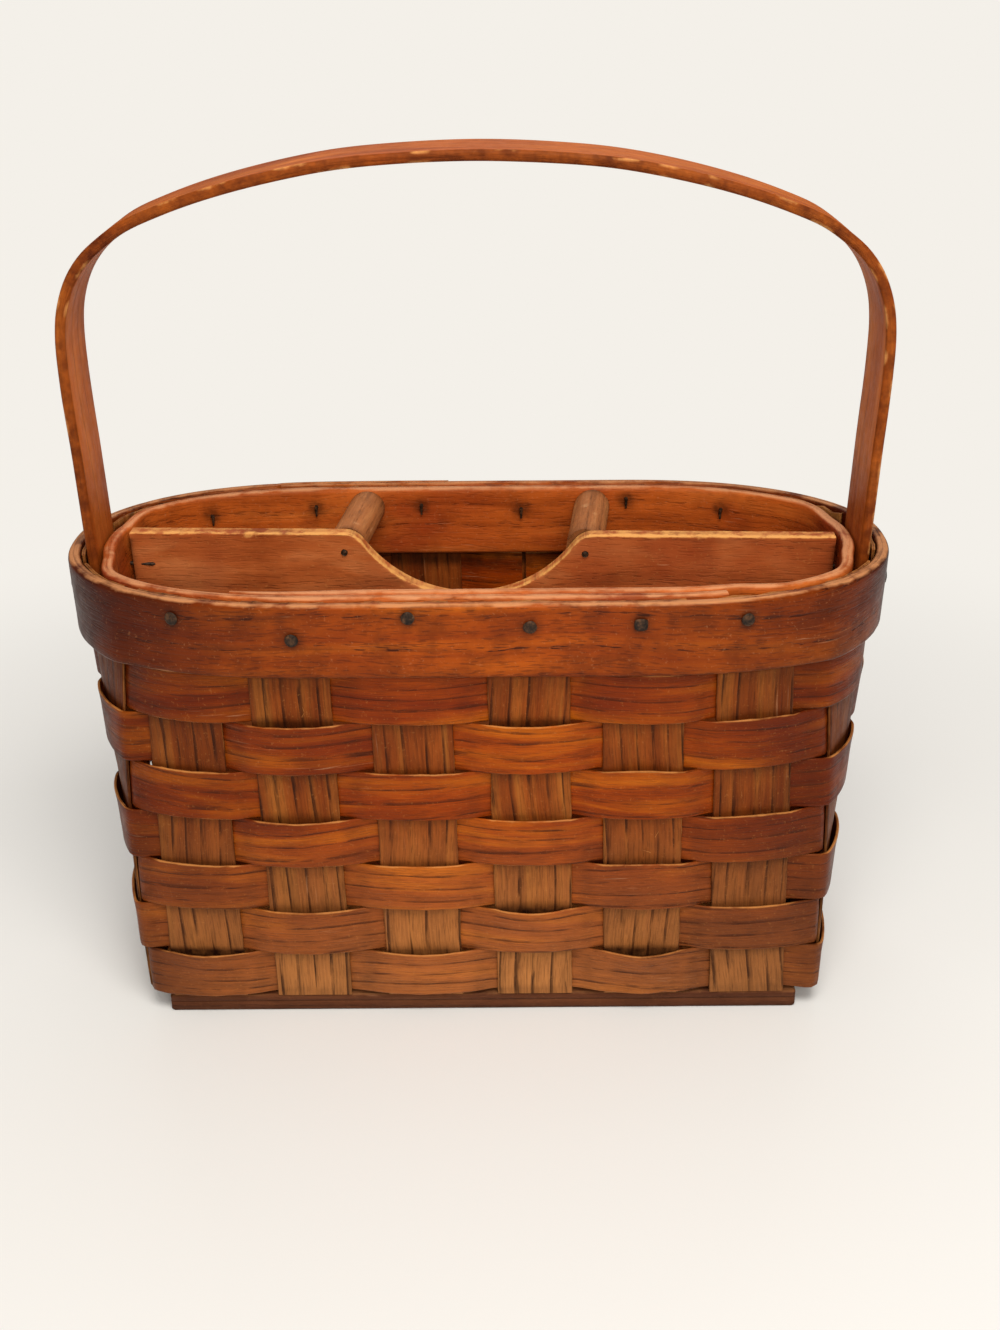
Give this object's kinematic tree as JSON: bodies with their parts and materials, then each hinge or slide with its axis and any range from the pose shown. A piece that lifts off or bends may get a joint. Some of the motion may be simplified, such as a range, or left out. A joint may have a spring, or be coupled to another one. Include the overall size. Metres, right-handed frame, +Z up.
{
  "type": "woven splint caddy with a fixed bow handle",
  "caption": "Woven wood-splint caddy with a tapered square-footed body, a nailed double rim, a fixed bow handle, a scooped divider and two dowels that make bottle cells.",
  "frame": {"origin": "centre of the underside of the bottom board, on the surface that the caddy stands on", "axes": "+Z up, +X along the length to the right, +Y from the front bay to the back cells"},
  "size_m": [0.4015, 0.1748, 0.4176],
  "materials": {
    "stake_splint": "satin, stained and varnished split ash",
    "weaver_splint": "satin, stained and varnished split ash",
    "rim_hoop": "satin, stained and varnished bent oak",
    "handle_bow": "satin, worn varnish on steam-bent ash",
    "board": "satin, stained sawn board",
    "dowel": "matt, worn turned rod",
    "nail": "dull, oxidised"
  },
  "bodies": {
    "root": {"bottom_board_lower": "board", "bottom_board_inner": "board", "stake_front_1": "stake_splint", "stake_front_2": "stake_splint", "stake_front_3": "stake_splint", "stake_front_4": "stake_splint", "stake_front_5": "stake_splint", "stake_front_6": "stake_splint", "stake_right_1": "stake_splint", "stake_right_2": "stake_splint", "stake_right_3": "stake_splint", "stake_back_1": "stake_splint", "stake_back_2": "stake_splint", "stake_back_3": "stake_splint", "stake_back_4": "stake_splint", "stake_back_5": "stake_splint", "stake_back_6": "stake_splint", "stake_left_1": "stake_splint", "stake_left_2": "stake_splint", "stake_left_3": "stake_splint", "weaver_row_1": "weaver_splint", "weaver_row_2": "weaver_splint", "weaver_row_3": "weaver_splint", "weaver_row_4": "weaver_splint", "weaver_row_5": "weaver_splint", "weaver_row_6": "weaver_splint", "weaver_row_7": "weaver_splint", "rim_outer_hoop": "rim_hoop", "rim_inner_hoop": "rim_hoop", "handle_bow": "handle_bow", "divider_board": "board", "dowel_left": "dowel", "dowel_right": "dowel", "rim_nail_front_1": "nail", "rim_nail_front_2": "nail", "rim_nail_front_3": "nail", "rim_nail_front_4": "nail", "rim_nail_front_5": "nail", "rim_nail_front_6": "nail", "rim_nail_back_1": "nail", "rim_nail_back_2": "nail", "rim_nail_back_3": "nail", "rim_nail_back_4": "nail", "rim_nail_back_5": "nail", "rim_nail_back_6": "nail", "handle_nail_left": "nail", "handle_nail_right": "nail", "divider_nail_left": "nail", "divider_nail_right": "nail", "dowel_nail_left": "nail", "dowel_nail_right": "nail", "dowel_hoop_nail_left": "nail", "dowel_hoop_nail_right": "nail", "board_nail_1": "nail", "board_nail_2": "nail", "board_nail_3": "nail", "board_nail_4": "nail"}
  },
  "joints": []
}
